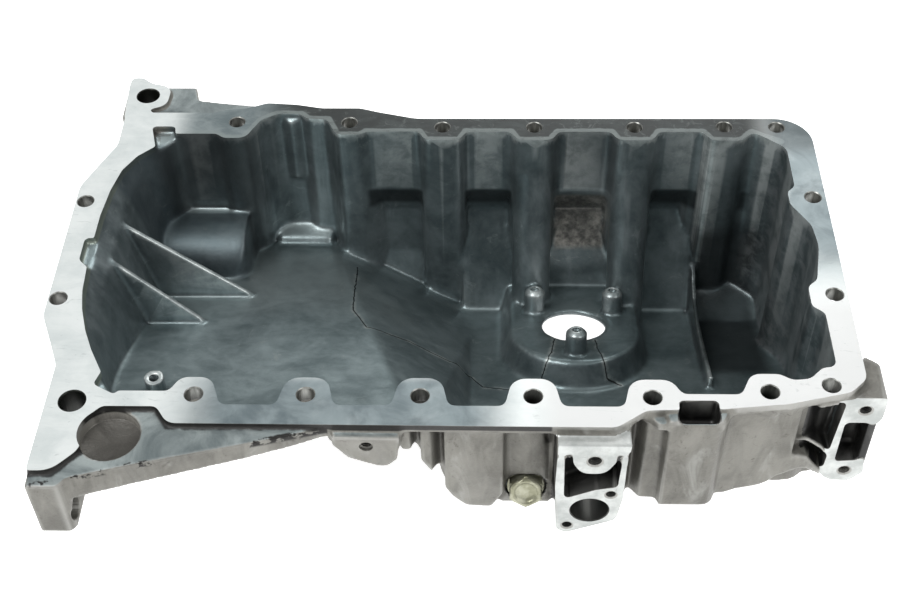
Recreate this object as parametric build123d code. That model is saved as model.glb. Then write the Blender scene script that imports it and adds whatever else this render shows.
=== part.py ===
from build123d import *
import os
from math import sqrt, cos, sin, radians, hypot, atan2, pi

# Engine oil pan: one aluminium casting with a drain plug and its sealing washer.
# Frame: origin on the plane of the machined rail, in the middle of the opening,
# +X towards the timing end, +Y across the pan, +Z up, out of the open side.
# The rail is level. The sump floor falls away towards +Y.

# ---------------------------------------------------------------- dimensions (mm)
rail_t = 6.0            # thickness of the joint rail
wall = 4.5              # casting wall
floor_t = 5.0           # floor thickness, vertical
slope = 0.353           # fall of the floor per mm of +Y (19.4 degrees)
floor_deep = -108.5     # deep floor height at y = 0
floor_left = -62.0      # shallow floor height at y = 0
ramp = (-0.613, -0.539, -104.3)   # ramp between them: z = a*x + b*y + c
ramp2 = (-1.94, -0.353, -128.0)   # steeper ramp next to the near wall
block_top = -28.1       # raised corner of the floor, height at y = 0
plateau_top = -89.4     # level-sensor plateau, height at y = 0
sensor_x, sensor_y = 52.8, 37.8   # middle of the sensor opening, in plan
sensor_d = 37.6
post_d, post_h = 12.6, 15.5
rail_hole_d = 9.0       # clearance holes in the rail
pad_d, pad_t = 17.0, 10.0
lug_hole_d = 13.0       # holes of the two gearbox-end lugs
return_face_y = -129.0  # machined face of the oil-return flange
bore_d = 19.6           # oil-return bore
thread6_d = 5.2         # tapping drill of the small threads
thread8_d = 6.9
plug_d = 12.0           # plug thread
plug_af, plug_flange_d = 17.0, 19.8
washer_t, washer_od, washer_id = 1.5, 19.6, 12.3
fit = 0.05              # radial clearance of the shank in its bore
plug_len = 14.0         # shank below the washer face

near_holes = [(-146.8, -102.6), (-90.7, -102.4), (-33.5, -102.8), (22.9, -102.7),
              (82.1, -103.0), (140.7, -98.9), (171.7, -94.6)]
far_holes = [(-150.4, 107.0), (-83.0, 106.7), (-27.3, 102.6), (27.3, 102.6),
             (86.6, 102.7), (139.7, 103.3), (170.4, 102.9)]
right_holes = [(182.9, 42.6), (183.2, -32.3)]
left_holes = [(-228.3, 37.6), (-228.3, -37.6)]
lug_holes = [(-208.0, 131.5), (-207.0, -107.3)]


# ---------------------------------------------------------------- helpers
def rounded(pts):
    """Closed face from (x, y, r) corners, each corner turned with radius r."""
    n = len(pts)
    cuts = []
    for i in range(n):
        x, y, r = pts[i]
        ax, ay = pts[i - 1][0] - x, pts[i - 1][1] - y
        bx, by = pts[(i + 1) % n][0] - x, pts[(i + 1) % n][1] - y
        la, lb = hypot(ax, ay), hypot(bx, by)
        ax, ay, bx, by = ax / la, ay / la, bx / lb, by / lb
        c = max(-1.0, min(1.0, ax * bx + ay * by))
        half = sqrt((1 + c) / 2)                 # cos of half the corner angle
        s = sqrt((1 - c) / 2)
        t = r * half / s if s > 1e-6 else 0
        t = min(t, 0.49 * la, 0.49 * lb)
        if r <= 0 or t < 0.05:
            cuts.append(((x, y), (x, y), (x, y)))
            continue
        rr = t * s / half
        mx, my = ax + bx, ay + by
        ml = hypot(mx, my)
        d = rr / s - rr                          # corner to the middle of the arc
        cuts.append(((x + ax * t, y + ay * t), (x + mx / ml * d, y + my / ml * d),
                     (x + bx * t, y + by * t)))
    edges = []
    for i in range(n):
        p, m, q = cuts[i]
        if hypot(q[0] - p[0], q[1] - p[1]) > 0.02:
            edges.append(ThreePointArc(p, m, q))
        nxt = cuts[(i + 1) % n][0]
        if hypot(nxt[0] - q[0], nxt[1] - q[1]) > 1e-4:
            edges.append(Line(q, nxt))
    return make_face(Wire(edges))


def prism(face, z_top, z_bottom):
    return extrude(Pos(0, 0, z_bottom) * face, z_top - z_bottom, dir=(0, 0, 1))


def poly(pts, z_top, z_bottom):
    return prism(rounded([(p[0], p[1], p[2] if len(p) > 2 else 0) for p in pts]), z_top, z_bottom)


def below(a, b, c):
    """Everything under the plane z = a*x + b*y + c."""
    return Plane(origin=(0, 0, c), x_dir=(1, 0, a), z_dir=(-a, -b, 1)) * Box(
        1400, 1400, 500, align=(Align.CENTER, Align.CENTER, Align.MAX))


def side(pts, x0, x1):
    """Extrude a (y, z) outline along X."""
    f = make_face(Plane.YZ * Polyline(*pts, close=True))
    return extrude(Pos(x0, 0, 0) * f, x1 - x0, dir=(1, 0, 0))


def front(pts, y0, y1):
    """Extrude an (x, z) outline with corner radii along Y."""
    f = rounded([(p[0], p[1], p[2] if len(p) > 2 else 0) for p in pts])
    f = Plane(origin=(0, y0, 0), x_dir=(1, 0, 0), z_dir=(0, -1, 0)) * f
    return extrude(f, y1 - y0, dir=(0, 1, 0))


def frustum_y(r0, y0, r1, y1):
    """Loft between two (x0, x1, z0, z1) rectangles at y0 and y1."""
    def rect(r, y):
        return make_face(Polyline((r[0], y, r[2]), (r[1], y, r[2]), (r[1], y, r[3]), (r[0], y, r[3]), close=True))
    return loft([rect(r0, y0), rect(r1, y1)], ruled=True)


def rod(p, d, length, direction):
    """Cylinder from point p along direction."""
    return Plane(origin=p, z_dir=direction) * Cylinder(d / 2, length, align=(Align.CENTER, Align.CENTER, Align.MIN))


def zhole(x, y, d, z_top, z_bottom):
    return Pos(x, y, z_bottom) * Cylinder(d / 2, z_top - z_bottom, align=(Align.CENTER, Align.CENTER, Align.MIN))


# ---------------------------------------------------------------- plan outlines
def lobe(x, y_edge, y_tip, side_sign):
    w, t = 14.2, 10.3
    a = [(x - w, y_edge, 4), (x - t, y_tip, 8.6), (x + t, y_tip, 8.6), (x + w, y_edge, 4)]
    return a if side_sign < 0 else a[::-1]


inner = [(-186, -100.6, 0), (-159.5, -100.6, 4), (-154.8, -91.5, 7), (-139.2, -91.5, 8), (-133.2, -109.0, 4)]
for x in (-90.7, -33.5, 22.9):
    inner += lobe(x, -109.0, -91.4, -1)
inner += [(67.9, -109.0, 4), (71.9, -91.6, 8.6), (92.2, -91.6, 8.6), (97.0, -100.7, 4),
          (126.5, -100.7, 4), (132.6, -87.4, 7), (146.8, -87.4, 7), (153.0, -91.3, 6), (162.0, -90.3, 6),
          (169.0, -83.2, 5), (176.3, -82.2, 4), (176.2, -45.6, 4), (170.0, -40.8, 4), (170.0, -26.5, 6),
          (175.6, -22.0, 6), (180.4, 4.0, 30), (178.8, 20.0, 12), (169.3, 37.0, 7), (169.3, 47.0, 4), (173.9, 51.5, 4),
          (173.9, 84.5, 9), (161.0, 95.0, 8), (155.5, 98.4, 4), (148.8, 91.0, 7), (131.2, 91.0, 7), (126.5, 98.6, 3)]
for x in (86.6, 27.3, -27.3):
    inner += lobe(x, 98.6, 91.1, 1)
inner += [(-72.5, 98.3, 5), (-76.5, 95.6, 5), (-90.4, 95.4, 5), (-96.5, 109.6, 5), (-108.5, 110.2, 4),
          (-113.5, 114.8, 4), (-126.5, 114.8, 7), (-136.4, 108.8, 7), (-144.3, 92.5, 7), (-157.0, 92.5, 6),
          (-161.5, 96.3, 3), (-186, 96.3, 0)]

outer = [(-221.0, -150.0, 1.5), (-209.5, -150.0, 13), (-197.5, -137.0, 12), (-197.5, -117.0, 8), (-191.5, -110.4, 3),
         (-164.5, -110.4, 4), (-157.5, -120.9, 8), (63.5, -121.9, 9), (78.5, -111.4, 6), (94.0, -110.5, 0),
         (115.0, -110.2, 0), (149.0, -106.7, 30), (181.0, -98.9, 9), (190.1, -90.0, 8), (190.1, 110.7, 21),
         (-43.4, 110.3, 30), (-66.0, 116.2, 8), (-77.5, 119.9, 8), (-100.6, 119.9, 12), (-116.0, 123.2, 20),
         (-134.0, 124.7, 8), (-146.0, 119.6, 8), (-158.5, 118.2, 6), (-166.0, 115.5, 6), (-204.5, 115.5, 1.5),
         (-205.0, 118.8, 1.5), (-195.3, 122.5, 8), (-194.6, 140.0, 8), (-207.0, 143.2, 6), (-213.8, 148.7, 3),
         (-220.4, 148.7, 3), (-221.0, 141.0, 6), (-218.6, 114.0, 8), (-218.6, 86.0, 12), (-226.0, 69.0, 12),
         (-233.9, 50.0, 16), (-233.9, -50.0, 16), (-226.0, -69.0, 12), (-220.0, -84.0, 10)]

# crescent end wall: inset of the wall from the rail edge, growing with depth
crescent = [(-186, -100.6), (-193.0, -93.8), (-196.7, -87.3), (-204.0, -73.5), (-209.7, -60.2), (-214.4, -45.0),
            (-216.9, -31.6), (-218.4, -5.0), (-218.1, 26.3), (-216.2, 46.0), (-212.3, 63.9), (-205.5, 76.0),
            (-197.0, 84.0), (-190.5, 91.5), (-186, 96.3)]


def crescent_section(z, inset, out=0.0):
    pts = []
    for x, y in crescent:
        w = max(0.1, 1 - ((y - 8) / 88.0) ** 2)
        pts.append((x + inset * w - out, y * (1 + out / 95.0), z))
    pts += [(-170, pts[-1][1], z), (-170, pts[0][1], z)]
    return make_face(Polyline(*pts, close=True))


levels = [(3.0, 0.0), (0.0, 0.0), (-4.0, 2.0), (-14.0, 9.5), (-41.0, 17.0), (-66.0, 22.5), (-120.0, 27.0)]
end_cavity = loft([crescent_section(z, i) for z, i in levels], ruled=True)
end_body = loft([crescent_section(z, i, wall + 1.0) for z, i in levels[1:]], ruled=True)

# ---------------------------------------------------------------- floor cutters
floor_cut = below(0, -slope, floor_deep) + (below(0, -slope, floor_left) & below(*ramp) & below(*ramp2))
under_cut = below(0, -slope, floor_deep - floor_t) + (
    below(0, -slope, floor_left - floor_t) & below(ramp[0], ramp[1], ramp[2] - floor_t - 1.2) &
    below(ramp2[0], ramp2[1], ramp2[2] - 11.0))

# far-wall bays: (upper x0, x1, lower x0, x1, lower bottom at the wall, at the recess)
bays = [(-71.5, -40.2, -64.8, -41.4, -131.0, -105.0), (-15.6, 15.6, -12.2, 11.6, -175.0, -175.0),
        (38.9, 75.2, 40.6, 71.8, -175.0, -175.0), (98.6, 124.0, 99.8, 118.6, -175.0, -175.0)]

# ---------------------------------------------------------------- cavity
cavity = prism(rounded(inner), 3.0, -190.0) + end_cavity
for a0, a1, b0, b1, za, zb in bays:
    cavity += frustum_y((a0, a1, za, -46.0), 98.0, (b0, b1, zb, -68.0), 104.6)
cavity -= floor_cut
# raised corner of the floor, over the starter side of the gearbox end
def hump(y, c, r, x1):
    """Long bar along X whose upper front corner is rounded with radius r."""
    f = Plane.YZ * rounded([(y, -220, 0), (y, c - slope * y, r), (140, c - slope * 140, 0), (140, -220, 0)])
    return extrude(Pos(-245, 0, 0) * f, x1 + 245, dir=(1, 0, 0))


raised = poly([(-240, 54.5), (-147.6, 54.5, 11), (-147.6, 130), (-240, 130)], 0, -200) & hump(54.5, block_top, 24.0, -140)
cavity -= raised
# level-sensor plateau: round towards -Y, straight sides back to the far wall


def slot_face(cx, cy, hw, r, c):
    """Round-nosed outline open to +Y, given in plan, drawn on the plane z = c - slope*y."""
    def q(x, y):
        return (x, y, c - slope * y)
    a, b = q(cx - hw, cy), q(cx + hw, cy)
    return make_face(Wire([ThreePointArc(a, q(cx, cy - r), b), Line(b, q(cx + hw, 135)),
                           Line(q(cx + hw, 135), q(cx - hw, 135)), Line(q(cx - hw, 135), a)]))


plateau = loft([slot_face(53.6, 27.6, 45.2, 44.9, floor_deep - 4.0), slot_face(53.1, 35.0, 39.5, 40.8, plateau_top)], ruled=True)
cavity -= plateau
# lower far wall: leans in, parallel to the draw of the sump
lean = side([(103.5, -69.0), (81.3, -132.0), (66.0, -175.0), (140, -175.0), (140, -69.0)], -16.2, 128.2)
cavity -= lean
# buttresses under the two middle columns
W = Vector(0, 0.333, 0.943)
for x in (27.3, 86.6):
    cavity -= rod(Vector(x, 71.0, -114.5) - W * 45, 24.0, 138.0, W)
# step along the foot of the far bay
cavity -= side([(102.2, -93.5), (118, -89.0), (118, -200), (102.2, -200)], -134.6, -99.6)
# wedge-shaped shelf in the timing-end corner
cavity -= side([(66, -132.2), (120, -122.5), (120, -200), (66, -200)], 133.5, 200)
# baffle fin standing on the deep floor
fin = side([(112, 2), (98.0, 1), (97.5, -2), (103.3, -50.9), (96.4, -98.4), (84, -110.5), (70.5, -115.0), (52, -115.2),
            (35.7, -111.8), (8, -102.5), (-10.0, -96.5), (-12.5, -140), (112, -190)], -1.3, 1.3)
fin = Pos(131.5, 0, 0) * fin
cavity -= fin
# two triangular ribs on the crescent wall
for y, zt, heel, toe, zf in ((33.8, -14.5, -215, -139.0, -74.4), (2.5, -13.2, -215, -162.8, -63.0)):
    rib = front([(-222, zt + 9.4), (-208.3, zt), (toe, zf), (toe, zf - 12), (-222, zf - 12)], y - 1.5, y + 1.5)
    cavity -= rib
# short half-round column in the far bay
cavity -= zhole(-118.5, 116.5, 11.0, -4.0, -50.0)

# ---------------------------------------------------------------- outside of the walls
body = prism(offset(rounded(inner), wall, kind=Kind.ARC), -2.0, -190.0)
for a0, a1, b0, b1, za, zb in bays:
    body += side([(92, -38), (103, -38), (109.3, -60), (109.3, -190), (92, -190)], a0 - 3.5, a1 + 3.5)
body -= side([(109.2, -66.0), (72.0, -171.4), (65.0, -191.3), (160, -191.3), (160, -66.0)], -11.5, 123.6)
body += end_body
body += poly([(-21.6, -104), (-21.6, -119.6, 1.5), (8.6, -119.6, 1.5), (8.6, -104)], -2, -190) & \
    front([(-22, 0), (-22, -58.0), (-11.0, -70.5, 3), (2.2, -72.0, 2), (9, -58.0), (9, 0)], -125, -100)      # front panel
body += poly([(-45.5, -104), (-43.0, -117.0, 1), (-38.6, -117.5, 1), (-36.6, -110, 1), (-33.6, -110, 1),
              (-33.4, -119.0, 1), (-28.4, -119.0, 1), (-24.6, -111, 1), (-20.5, -111), (-20.5, -104)], -2, -190) & \
    front([(-46, 0), (-46, -24.0), (-36.0, -35.0), (-24.0, -46.0), (-20, -50.0), (-20, 0)], -125, -100)
body += poly([(76.0, -103), (80.0, -110.5, 1), (88.5, -111.0, 1), (90.2, -117.3, 1), (116.6, -117.3, 7), (121.0, -106.5, 2),
              (150.0, -105.2), (157.5, -104.6, 1), (157.5, -88)], -2, -190) & \
    front([(70, 0), (160, 0), (160, -58.5), (152, -62.5, 3), (147.5, -68.2, 3), (141, -70.9), (132, -73.2), (118, -80), (70, -80)], -125, -80)
# the underside follows the floor
body -= under_cut
body -= poly([(-240, 59.5), (-152.6, 59.5, 6), (-152.6, 138), (-240, 138)], 0, -200) & hump(59.5, block_top - floor_t, 19.0, -140)
# the gearbox-end walls stop at the underside of the shallow floor
sensor_pocket = loft([slot_face(53.3, 30.0, 38.5, 38.0, floor_deep - floor_t - 12.0),
                      slot_face(53.1, 35.0, 35.0, 35.5, plateau_top - floor_t)], ruled=True)
far_keep = side([(95.0, -80.0), (60.0, -179.2), (160, -179.2), (160, -80)], 0, 110)
body -= sensor_pocket - far_keep

# ---------------------------------------------------------------- rail and outside features
rail = prism(rounded(outer), 0.0, -rail_t)
end_rim = poly([(-233.9, 48, 14), (-233.9, -48, 14), (-221, -75, 8), (-205, -72), (-210, 0), (-207, 74), (-221, 76, 8)], -3, -13)
shape = rail + body + end_rim

rail_column = prism(offset(rounded(outer), -0.6, kind=Kind.ARC), 0, -30)
for x, y in near_holes + far_holes + right_holes + left_holes:
    pads = zhole(x, y, pad_d, -2, -pad_t)
    shape += (pads & rail_column) if (x, y) not in left_holes else zhole(x, y, 11.0, -2, -pad_t)

# raised rail rim of the far, gearbox-side corner: lower-level gusset plate
shape += poly([(-221.0, 112), (-221.0, 141.0), (-208.0, 143.4, 1), (-180.2, 143.5, 1), (-177.2, 131.2, 1),
               (-163.7, 129.0, 10), (-132.0, 124.6), (-120, 118), (-150, 104), (-205, 100)], -3.0, -9.0)
shape += zhole(-208.0, 131.5, 27.0, -3, -28)
shape += poly([(-221.0, 112), (-221.0, 148.7, 2), (-214, 148.7, 2), (-208, 143.4), (-208, 112)], -1, -16)
# ledge under the timing end of the near rail
shape += poly([(76.0, -104), (79.0, -111.0, 2), (85.0, -117.3, 2), (116.8, -117.3, 2), (121.5, -108.5, 2), (124, -100)], -4.2, -9)

# gearbox gusset, near side: plate with a blind access hole, edge web and end block
gz = -7.0
gusset = poly([(-221.0, -130), (-221.0, -153.8, 1), (-207.0, -150.2, 2), (-171.7, -140.6), (-121.9, -128.6),
               (-96.0, -122.0), (-78, -117.5), (-78, -108), (-110, -104), (-190, -100), (-221, -100)], gz, gz - 6.5)
gusset += front([(-221.0, gz), (-221.0, -24.0), (-203.0, -24.0), (-172.0, -22.5), (-121.0, -19.0), (-97.0, -16.5), (-78.0, -13.0), (-78, gz)], -200, -90) & \
    poly([(-221.0, -153.8), (-207.0, -150.2), (-171.7, -140.6), (-121.9, -128.6), (-78.0, -117.5),
          (-78.0, -112.0), (-121.9, -123.4), (-171.7, -135.4), (-221.0, -147.5)], 0, -60)
gusset += zhole(-185.6, -122.6, 37.0, gz, -18.0) & poly([(-221, -100), (-221, -150), (-171.7, -138), (-150, -130), (-150, -100)], 0, -60)
gusset += poly([(-221.0, -128), (-221.0, -154.0, 1), (-206.0, -154.0, 1.5), (-203.0, -151.0, 1.5), (-203.0, -128)], gz, -45.0)
shape += Pos(0, -3.7, 4.0) * gusset
shape += zhole(-207.0, -107.3, 22.0, -2, -28)                                # boss of the near lug

# small front lug
shape += front([(-76.5, -5.0), (-74.6, -13.0, 3), (-69.5, -21.0, 5), (-51.0, -29.5, 7), (-44.6, -22, 3), (-43.0, -5.0)], -126.0, -116)
shape += poly([(-80.0, -110), (-76.5, -124.5, 1.5), (-43.0, -124.5, 1.5), (-40, -110)], -4.6, -14)

# oil-return flange block
y_f = return_face_y
ret = front([(34.5, -5.6), (34.5, -40.0), (36.2, -77.0, 4), (41.0, -80.6, 4), (66.8, -68.5, 5), (69.2, -50.0, 1), (70.0, -5.6)], y_f, -100)
lip = front([(34.4, -5.6), (34.4, -12.4), (66.9, -12.6), (70.6, -10.8, 1), (71.2, -5.6)], y_f - 0.4, -110)
ret += lip
win = front([(38.6, -12.6), (39.2, -50.4), (55.2, -42.4, 3), (66.1, -39.9, 1), (66.9, -12.6)], y_f - 5, -104)
tongue = front([(42.6, -8), (42.6, -20.0, 9), (47.5, -28.6, 7), (58.8, -28.6, 7), (63.6, -20.0, 9), (63.6, -8)], y_f, -104)
ret = ret - (win - tongue)
# the plate stands in front of the sump wall; a tube leads back from it
behind = side([(-114.5, 5), (-60, 5), (-60, -140), (-114.5, -140)], 20, 90)
shape += ret - (under_cut & behind)
shape += rod(Vector(52.8, y_f + 2, -60.2), 26.0, 24.0, Vector(0, 1, 0))

# drain boss on the near wall: axis along the sump floor
ax = Vector(0, -0.943, 0.333)
head_front = Vector(20.4, -117.8, -61.6)
seat = head_front - ax * (7.0 + 2.0 + washer_t)      # face of the boss
rim = Plane(origin=seat + ax * 3.0, z_dir=ax, x_dir=(1, 0, 0))
boss = extrude(rim * make_face(Wire([Line((-13.0, -10.4), (12.6, -10.4)), Line((12.6, -10.4), (12.6, 1.0)),
                                     ThreePointArc((12.6, 1.0), (-0.2, 12.9), (-13.0, 1.0)), Line((-13.0, 1.0), (-13.0, -10.4))])), -27.0)
column = poly([(8.0, -100), (9.4, -110.5, 3), (20.4, -113.0, 8), (31.4, -110.5, 3), (33.0, -100)], -4, -62) & \
    front([(13.5, -4), (9.6, -45.0), (7.9, -53.0), (7.9, -62), (32.9, -62), (32.9, -53.0), (31.2, -45.0), (27.6, -4)], -120, -90)
shape += column
shape += boss
# timing-end bracket: two lugs joined by two posts, with a deep pocket beside them
shape += poly([(180.6, -99.0), (193.4, -69.4), (204.5, -77.2), (204.5, -99.0)], 0, -40) & \
    front([(179, -6.5), (201, -6.5, 2), (201, -22.0, 1), (199.4, -26.2, 2), (179, -26.2)], -97.5, -60)
shape += front([(179.2, -59.4, 1), (198.2, -57.8, 2), (199.8, -68.5, 3), (193.2, -76.2, 4), (183.0, -75.2, 4), (178.8, -72.0, 2)], -97.5, -80)
shape += front([(181.0, -6.5), (182.8, -6.5), (182.8, -62.0), (178.0, -62.0)], -97.5, -80)
shape += poly([(194.9, -78), (194.9, -97.0), (199.6, -97.0, 1), (199.6, -78)], -20, -60)
shape += poly([(176, -76), (199.6, -76), (199.6, -84.0), (176, -84.0)], -6.5, -62)
guide = poly([(140, -84), (140, -105.4), (158.0, -104.6), (176.0, -99.5), (180.5, -97.5), (183.5, -97.5), (183.5, -84)], 0, -100)
shape += front([(146.0, -45.2), (160.0, -45.6, 2), (166.0, -49.0, 3), (170.1, -55.9), (175.4, -63.7), (178.8, -68.0), (183.0, -70.0), (183.0, -75.0),
                (178.0, -70.5), (171.5, -64.4, 3), (167.5, -60.2, 3), (163.5, -58.4), (157.0, -59.2), (152.0, -62.5), (146.0, -66.0)], -110, -84) & guide
shape += front([(160.0, -38.5), (165.0, -38.2, 2), (174.0, -45.6), (179.5, -52.5), (179.5, -55.0), (174.0, -48.0), (165.0, -40.6, 1), (160.0, -40.8)], -98.6, -84)

# ---------------------------------------------------------------- hollow it out and put back what stands inside
shape -= cavity
posts = []
n = Vector(0, slope, 1).normalized()
for px, py in ((52.5, 5.6), (29.3, 54.5), (77.3, 53.5)):
    foot = Vector(px, py, plateau_top - slope * py)
    p = rod(foot - n * 3, post_d, post_h + 3 - 2.5, n)
    p += Plane(origin=foot + n * (post_h - 2.5), z_dir=n) * Cone(post_d / 2, post_d / 2 - 2.5, 2.5, align=(Align.CENTER, Align.CENTER, Align.MIN))
    shape += p
    posts.append(foot)
# tapped boss on the shallow floor
shape += zhole(-176.0, -71.5, 10.5, -24.5, -44.0)
# drain boss inside
shape += rod(seat - ax * 2, 21.0, 22.0, -ax) & prism(rounded(inner), 0, -120) & side([(-120, 0), (0, 0), (0, -113.0), (-120, -70.6)], 0, 40)

# ---------------------------------------------------------------- machining
for x, y in near_holes + far_holes + right_holes + left_holes:
    shape -= zhole(x, y, rail_hole_d, 1, -13.5)
for x, y in lug_holes:
    shape -= zhole(x, y, lug_hole_d, 1, -45)
shape -= zhole(-185.6, -126.3, 30.2, 1, -9.5)                             # blind gusset access hole
shape -= rod(Vector(-240, -149.1, -31.5), 12.4, 80, Vector(1, 0, 0))       # end-block hole
shape -= poly([(94.8, -123), (94.8, -104.8, 1.5), (114.6, -104.8, 1.5), (114.6, -123)], 1, -4.2)
shape -= poly([(94.8, -115.6, 1), (94.8, -104.8, 1.5), (114.6, -104.8, 1.5), (114.6, -115.6, 1)], 1, -16)
shape -= poly([(-201.0, 102.8, 0.8), (-187.0, 102.8, 0.8), (-185.0, 90.0), (-196.0, 84)], 1, -4.5)
shape -= poly([(-222.9, 7.9, 0.8), (-214.5, 7.9), (-211.0, -13.5), (-218.0, -14.0, 1), (-222.9, -9.0, 0.8)], 1, -4.0)
shape -= poly([(-198.6, -96.5, 1), (-186.8, -103.0, 1), (-183.0, -98.0), (-196, -88)], 1, -4.5)
shape -= rod(Vector(sensor_x, sensor_y, plateau_top - slope * sensor_y) + n * 3, sensor_d, 14, -n)
# clearance in the skirt behind the sensor opening
shape -= side([(67.5, -119.8), (100.0, -155.2), (100.0, -190), (67.5, -190)], 32.5, 73.5)
for f in posts:
    shape -= rod(f + n * (post_h + 1), thread6_d, 14.5, -n)
shape -= rod(Vector(52.8, y_f - 2, -60.2), bore_d, 36, Vector(0, 1, 0))
shape -= rod(Vector(63.0, y_f - 2, -46.6), thread6_d, 16, Vector(0, 1, 0))
shape -= rod(Vector(41.8, y_f - 2, -74.0), thread6_d, 16, Vector(0, 1, 0))
shape -= rod(Vector(53.4, y_f - 2, -18.6), thread8_d, 18, Vector(0, 1, 0))
shape -= rod(Vector(-59.7, -128, -11.6), thread6_d, 14, Vector(0, 1, 0))
shape -= rod(Vector(191.4, -99.5, -16.5), thread6_d + 0.9, 15, Vector(0, 1, 0))
shape -= rod(Vector(189.6, -99.5, -67.1), thread6_d + 0.9, 14, Vector(0, 1, 0))
shape -= zhole(-176.0, -71.5, 5.2, 0, -40.0)
shape -= rod(seat, 21.2, 30, ax)                                           # counterbore of the drain boss
shape -= rod(seat + ax, plug_d + 2 * fit, 60, -ax) & rod(seat + ax, 30, 34, -ax)

solids = shape.solids().sort_by(SortBy.VOLUME)
pan_casting = solids[-1]
print("casting solids", len(solids), [round(s.volume) for s in solids[:-1]], "volume", round(pan_casting.volume), "valid", pan_casting.is_valid)

# ---------------------------------------------------------------- drain plug and washer
w0 = seat
drain_washer = Plane(origin=w0, z_dir=ax) * (Cylinder(washer_od / 2, washer_t, align=(Align.CENTER, Align.CENTER, Align.MIN)) -
                                             Cylinder(washer_id / 2, washer_t, align=(Align.CENTER, Align.CENTER, Align.MIN)))
pl = Plane(origin=seat + ax * washer_t, z_dir=ax, x_dir=(1, 0, 0))
head = Cylinder(plug_flange_d / 2, 2.0, align=(Align.CENTER, Align.CENTER, Align.MIN))
head += extrude(RegularPolygon(plug_af / 2, 6, major_radius=False), 9.0) & (
    Cylinder(plug_af / sqrt(3) + 1, 8.0, align=(Align.CENTER, Align.CENTER, Align.MIN)) +
    Pos(0, 0, 8.0) * Cone(plug_af / sqrt(3) - 0.0, plug_af / 2 - 0.4, 1.0, align=(Align.CENTER, Align.CENTER, Align.MIN)))
head -= Pos(0, 0, 9.0 - 1.6) * Cylinder(5.6, 3, align=(Align.CENTER, Align.CENTER, Align.MIN))
shank = Pos(0, 0, -plug_len - washer_t) * Cylinder(plug_d / 2, plug_len + washer_t, align=(Align.CENTER, Align.CENTER, Align.MIN))
drain_plug = pl * (head + shank)

os.makedirs("parts", exist_ok=True)
export_step(pan_casting, "parts/pan_casting.step")
export_step(drain_washer.solid() if hasattr(drain_washer, "solid") else drain_washer, "parts/drain_washer.step")
export_step(drain_plug.solid() if hasattr(drain_plug, "solid") else drain_plug, "parts/drain_plug.step")
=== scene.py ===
import bpy, bmesh, math
import numpy as np
import openvdb as vdb
from mathutils import Vector, Matrix, noise as mnoise
from mathutils.bvhtree import BVHTree


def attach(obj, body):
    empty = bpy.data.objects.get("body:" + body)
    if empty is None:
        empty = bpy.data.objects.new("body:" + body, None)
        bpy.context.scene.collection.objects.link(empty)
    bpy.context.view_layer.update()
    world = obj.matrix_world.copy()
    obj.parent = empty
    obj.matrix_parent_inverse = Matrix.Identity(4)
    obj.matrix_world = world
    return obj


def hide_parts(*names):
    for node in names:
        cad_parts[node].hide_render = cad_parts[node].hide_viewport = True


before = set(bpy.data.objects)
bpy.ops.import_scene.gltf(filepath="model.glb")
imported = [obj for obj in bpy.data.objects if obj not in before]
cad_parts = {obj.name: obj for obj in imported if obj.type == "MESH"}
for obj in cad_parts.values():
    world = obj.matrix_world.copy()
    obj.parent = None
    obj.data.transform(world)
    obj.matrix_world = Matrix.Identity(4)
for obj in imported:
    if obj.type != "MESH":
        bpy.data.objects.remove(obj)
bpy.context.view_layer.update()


scene = bpy.context.scene
MM = 0.001
SLOPE = 0.353

# ------------------------------------------------------------------ camera
right = Vector((0.9997217, 0.0190436, -0.0139200))
down = Vector((0.0044944, -0.7330816, -0.6801258))
ahead = Vector((-0.0231566, 0.6798740, -0.7329632))
cam_data = bpy.data.cameras.new("camera")
cam_data.sensor_width = 36.0
cam_data.lens = 36.0 * 1439.75 / 900.0
cam_data.shift_x = -4.3 / 900.0
cam_data.clip_start = 0.01
cam_data.clip_end = 50.0
cam = bpy.data.objects.new("camera", cam_data)
up, back = -down, -ahead
rot = Matrix(((right.x, up.x, back.x), (right.y, up.y, back.y), (right.z, up.z, back.z)))
cam.matrix_world = Matrix.Translation((0, -0.555, 0.557734)) @ rot.to_4x4()
scene.collection.objects.link(cam)
scene.camera = cam


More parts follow.
